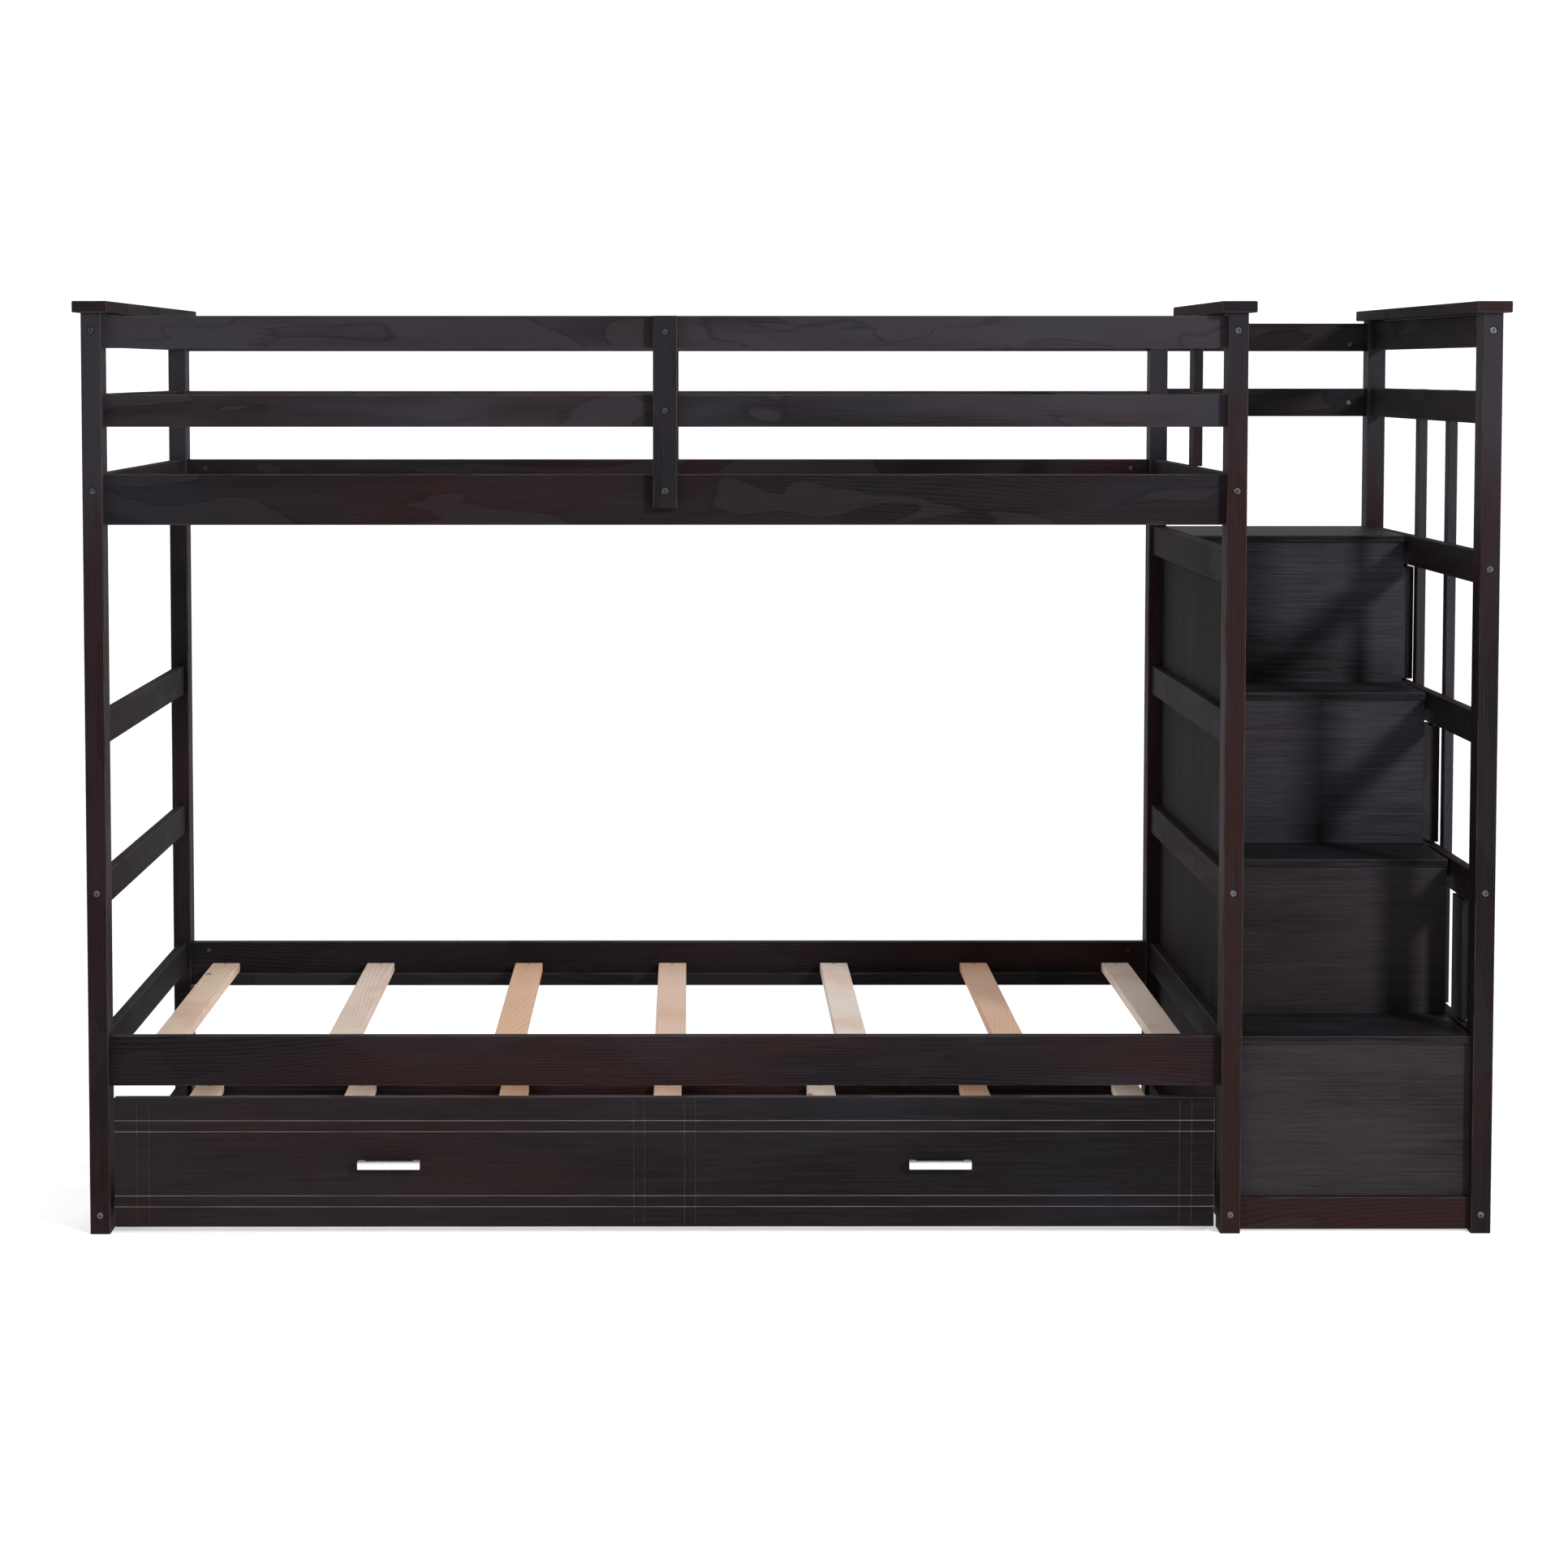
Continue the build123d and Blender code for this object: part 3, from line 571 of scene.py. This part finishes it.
# %% [markdown]
# ## Metal, plastic and rubber
#
# Bolts, nuts and screws are zinc-plated steel: grey, a little blotchy, with fine turning
# marks. The pulls are brushed along their length. The castors hide behind the trundle's
# front, moulded in black plastic with grey rubber wheels that pick up dust.

# %% Fittings
ZINC = (tone(70, 70, 74), tone(104, 104, 108))              # dark and light
BRUSHED = (tone(222, 223, 226), tone(244, 244, 246))
CASTOR_PLASTIC = (tone(30, 30, 32), tone(46, 46, 48))
WHEEL_RUBBER = (tone(84, 84, 87), tone(112, 110, 108))
BLOTCH = (0.35, 0.7)
DUST = (0.4, 0.75)
SCRATCH_DEPTH = 0.0001      # metres
GRAINED_DEPTH = 0.0002      # metres


def plated_steel(name):
    """Zinc plating with soft blotches and fine scratches."""
    shader = Shader(name)
    place = shader.place()
    blotch = shader.noise(place, 180.0, 3.0, 0.6)
    scratch = shader.noise(place, 1400.0, 2.0, 0.6)
    return shader.finish(Base_Color=shader.mix(blotch.step(*BLOTCH), *ZINC), Metallic=1.0,
                         Roughness=0.34 + (blotch - 0.5) * 0.25,
                         Normal=shader.relief(scratch, 0.15, SCRATCH_DEPTH))


def brushed_steel(name):
    """Bright steel with fine lines along X."""
    shader = Shader(name)
    x, y, z = shader.apart(shader.place())
    lines = shader.noise(shader.vector(x * 30, y * 3200, z * 3200), 1.0, 3.0, 0.6)
    smear = shader.noise(shader.vector(x * 60, y * 60, z * 60), 1.0, 2.0, 0.5)
    gloss = 0.26 + (lines - 0.5) * 0.16 + (smear - 0.5) * 0.12
    return shader.finish(Base_Color=shader.mix(lines, *BRUSHED), Metallic=0.6, Roughness=gloss,
                         Normal=shader.relief(lines, 0.12, SCRATCH_DEPTH))


def moulded(name, dark, light, grain, rough):
    """Moulded plastic or rubber with a grained surface and some dust."""
    shader = Shader(name)
    place = shader.place()
    speck = shader.noise(place, grain, 3.0, 0.6)
    dust = shader.noise(place, 45.0, 3.0, 0.6)
    return shader.finish(Base_Color=shader.mix(dust.step(*DUST), dark, light),
                         Roughness=rough + (dust - 0.5) * 0.2,
                         Normal=shader.relief(speck, 0.3, GRAINED_DEPTH))


finishes["steel"] = plated_steel("zinc_plated_steel")
finishes["pull"] = brushed_steel("brushed_pull")
finishes["castor"] = moulded("castor_plastic", *CASTOR_PLASTIC, 900.0, 0.5)
finishes["rubber"] = moulded("wheel_rubber", *WHEEL_RUBBER, 600.0, 0.62)
print("fittings ready")

# %% [markdown]
# ## Which part takes which finish
#
# The names on the left are the parts of the CAD model. A part that is not named here is
# reported, so that nothing is left without a finish.

# %% Give each part its finish
parts_of = {
    "posts": "post_front_left post_rear_left post_rear_middle post_front_right post_rear_right",
    "redder": "post_front_middle",
    "uprights": "batten_front batten_rear entry_upright side_boards board_pins",
    "slats_upright": "side_slats",
    "guards": "guards_front guards_rear",
    "rails": "rail_front_upper rail_rear_upper stair_rear_guards ledgers stair_rear_ties",
    "low_rails": "rail_front_lower rail_rear_lower trundle_ledgers trundle_back",
    "bars": "cap_left cap_middle cap_right left_guard_bars left_bars middle_guard_bars middle_bars "
            "right_guard_bars right_bars stair_cleats trundle_ends",
    "kick": "kick_board",
    "risers": "risers",
    "treads": "tread_1 tread_2 tread_3 platform",
    "panel": "stair_inner_panel",
    "front": "trundle_front",
    "slats": "slats_lower slats_upper",
    "trundle_slats": "trundle_slats",
    "steel": "bolts_end_frames bolts_rails bolts_battens barrel_nuts sleeve_nuts frame_screws "
             "trundle_screws castor_axles",
    "pull": "trundle_handles",
    "castor": "castor_housings",
    "rubber": "castor_wheel_1 castor_wheel_2 castor_wheel_3 castor_wheel_4",
}
finished = set()
for finish_name, names in parts_of.items():
    for name in names.split():
        for material_slot in nodes[name].material_slots:
            material_slot.material = finishes[finish_name]
        finished.add(name)
print("finished:", len(finished), "left over:", sorted(set(nodes) - finished))

# %% [markdown]
# ## The drawer pulls
#
# Each pull is a straight, slim bar of brushed metal on two short feet. CAD keeps it plain.
# Here the bar's section has a gently crowned face and small round corners, so the light
# breaks over it in a bright band, and its sawn ends have a fine bevel.

# %% Bar pulls
PULL_LENGTH = 0.109     # metres, as the rest below
PULL_THICK = 0.007
PULL_CORNER = 0.0011    # radius of the bar's back corners
PULL_CROWN = 0.0007     # how far the face's rims lie behind its middle
PULL_BEVEL = 0.0006     # at the sawn ends
FOOT_LONG = 0.012
FOOT_SINK = 0.001       # how far a foot reaches into the bar
FOOT_TALL = 1.7         # a foot's height over half the bar's height
STEPS = 4               # steps from the face's middle to its rim, and round a corner


def mesh_piece(name, mesh, material):
    """Turns a finished mesh into an object with one material, in the open scene."""
    data = bpy.data.meshes.new(name)
    mesh.to_mesh(data)
    mesh.free()
    data.materials.append(material)
    piece = bpy.data.objects.new(name, data)
    bpy.context.collection.objects.link(piece)
    return piece


def bar_section(half_tall, thick):
    """The bar's outline as (depth, height) pairs, face first, going round once."""
    points = []
    for i in range(2 * STEPS + 1):
        height = (half_tall - PULL_CORNER) * (1 - i / STEPS)
        points.append((PULL_CROWN * (height / half_tall) ** 2, height))
    for turn, side in enumerate((-1, 1)):
        for i in range(STEPS + 1):
            angle = math.pi / 2 * (i / STEPS + turn)
            points.append((thick - PULL_CORNER + math.sin(angle) * PULL_CORNER,
                           side * (half_tall - PULL_CORNER) - math.cos(angle) * PULL_CORNER))
    return points


def bar_pull(name, low, high):
    """A pull in the box from low to high, whose back stands on the drawer's front."""
    mesh = bmesh.new()
    middle_z = (high.z + low.z) / 2
    half_tall = (high.z - low.z) / 2
    rings = []
    for x, shrink in ((low.x, PULL_BEVEL), (low.x + PULL_BEVEL, 0.0),
                      (high.x - PULL_BEVEL, 0.0), (high.x, PULL_BEVEL)):
        outline = bar_section(half_tall - shrink, PULL_THICK - 2 * shrink)
        rings.append([mesh.verts.new((x, low.y + shrink + depth, middle_z + height))
                      for depth, height in outline])
    count = len(rings[0])
    for first, second in zip(rings, rings[1:]):
        for k in range(count):
            after = (k + 1) % count
            mesh.faces.new((first[k], first[after], second[after], second[k]))
    mesh.faces.new(rings[0][::-1])
    mesh.faces.new(rings[-1])
    foot_deep = high.y - low.y - PULL_THICK + FOOT_SINK
    for start in (low.x + PULL_BEVEL, high.x - FOOT_LONG - PULL_BEVEL):
        for vertex in bmesh.ops.create_cube(mesh, size=1.0)["verts"]:
            vertex.co = Vector((start + (vertex.co.x + 0.5) * FOOT_LONG,
                                high.y + (vertex.co.y - 0.5) * foot_deep,
                                middle_z + vertex.co.z * half_tall * FOOT_TALL))
    bmesh.ops.recalc_face_normals(mesh, faces=mesh.faces)
    return mesh_piece(name, mesh, finishes["pull"])


pull_low, pull_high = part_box("trundle_handles")
for side, start in (("left", pull_low.x), ("right", pull_high.x - PULL_LENGTH)):
    low = Vector((start, pull_low.y, pull_low.z))
    high = Vector((start + PULL_LENGTH, pull_high.y, pull_high.z))
    pull = bar_pull(f"pull_{side}", low, high)
    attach(pull, "trundle")
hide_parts("trundle_handles")

# %% [markdown]
# ## The floor
#
# The bed stands on a plain pale floor that turns up behind it in one smooth curve, so no
# edge shows. The paint glows by itself, so the ground stays even and white under fairly
# weak lamps.

# %% Floor
FLOOR_HALF = 45.0       # metres to each side and to the front
FLOOR_BACK = 7.2        # metres behind the bed's middle where the floor starts to rise
FLOOR_RADIUS = 1.6      # metres
FLOOR_TOP = 5.6         # metres
FLOOR_STEPS = 12        # steps round the curve
FLOOR_GLOW = 0.52       # strength of the paint's own light
FLOOR_PAINT = (tone(240, 240, 241), tone(247, 247, 248))


def floor_paint(name):
    """A pale, faintly mottled paint that glows."""
    shader = Shader(name)
    mottle = shader.noise(shader.place(), 3.0, 3.0, 0.5)
    return shader.finish(Base_Color=shader.mix(mottle, *FLOOR_PAINT), Roughness=0.75,
                         Emission_Color=WHITE, Emission_Strength=FLOOR_GLOW)


def plain_floor(name):
    """A level floor with a curved rise at the back, as one smooth sheet."""
    line = [(-FLOOR_HALF, 0.0)]
    for i in range(FLOOR_STEPS + 1):
        angle = math.pi / 2 * i / FLOOR_STEPS
        line.append((FLOOR_BACK + math.sin(angle) * FLOOR_RADIUS,
                     FLOOR_RADIUS - math.cos(angle) * FLOOR_RADIUS))
    line.append((FLOOR_BACK + FLOOR_RADIUS, FLOOR_TOP))
    mesh = bmesh.new()
    left, right = ([mesh.verts.new((x, y, z)) for y, z in line] for x in (-FLOOR_HALF, FLOOR_HALF))
    for i in range(len(line) - 1):
        face = mesh.faces.new((left[i], right[i], right[i + 1], left[i + 1]))
        face.smooth = True
    return mesh_piece(name, mesh, floor_paint("studio_floor_paint"))


floor = plain_floor("studio_floor")
floor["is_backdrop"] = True
print("floor laid")

# %% [markdown]
# ## The light
#
# Three lamps do the work. A wide panel overhead gives the soft, even light. A small,
# strong key from the front right draws the end frame's shadow on the risers. A large,
# weak fill from the left opens the shadows. The world is even and dim.

# %% Light
MIDDLE = (0.0, 0.0, 0.8)
STAIRS = (0.6, 0.0, 0.8)
LAMPS = (  # name, place and target in metres, sides in metres, power in watts
    ("overhead", (0.0, -0.4, 4.8), MIDDLE, (5.0, 3.5), 122),
    ("key_right", (3.8, -5.6, 3.4), STAIRS, (0.7, 0.7), 350),
    ("fill_left", (-4.6, -5.0, 2.6), MIDDLE, (3.0, 3.0), 62),
)
WORLD_STRENGTH = 0.2

for name, place, target, sides, power in LAMPS:
    light = bpy.data.lights.new(name, "AREA")
    light.shape = "RECTANGLE"
    light.size, light.size_y = sides
    light.energy = power
    panel = bpy.data.objects.new(name, light)
    panel.location = place
    panel.rotation_euler = (Vector(target) - Vector(place)).to_track_quat("-Z", "Y").to_euler()
    bpy.context.collection.objects.link(panel)
scene = bpy.context.scene
scene.world = bpy.data.worlds.new("studio")
scene.world.use_nodes = True
background = scene.world.node_tree.nodes["Background"]
background.inputs["Color"].default_value = WHITE
background.inputs["Strength"].default_value = WORLD_STRENGTH
scene.view_settings.view_transform = "Standard"
scene.view_settings.look = "None"
print("lights:", [name for name, *rest in LAMPS])

# %% [markdown]
# ## The camera
#
# It stands more than six metres in front of the bed with a long lens, a little below the
# posts' tops. It is tilted down by a few degrees and shifted for the rest, so the posts
# stay nearly parallel.

# %% Camera
LENS = 81.41            # millimetres
SENSOR = 36.0           # millimetres
SHIFT = (0.0557, -0.12)
PLACE = (-0.181, -6.668, 1.510)
TILT_DOWN = 3.65        # degrees
TURN = -0.151           # degrees, to the right
FAR_CLIP = 100.0        # metres

camera_data = bpy.data.cameras.new("camera")
camera_data.lens = LENS
camera_data.sensor_width = SENSOR
camera_data.shift_x, camera_data.shift_y = SHIFT
camera_data.clip_end = FAR_CLIP
camera = bpy.data.objects.new("camera", camera_data)
camera.location = PLACE
camera.rotation_euler = (math.radians(90 - TILT_DOWN), 0.0, math.radians(TURN))
bpy.context.collection.objects.link(camera)
scene.camera = camera
print("camera at", tuple(round(v, 2) for v in camera.location))

# %% [markdown]
# ## Finish
#
# The outline of the finished bed is measured and printed.

# %% Measure and finish
low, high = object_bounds()
print("finished size:", [round(v, 3) for v in high - low])
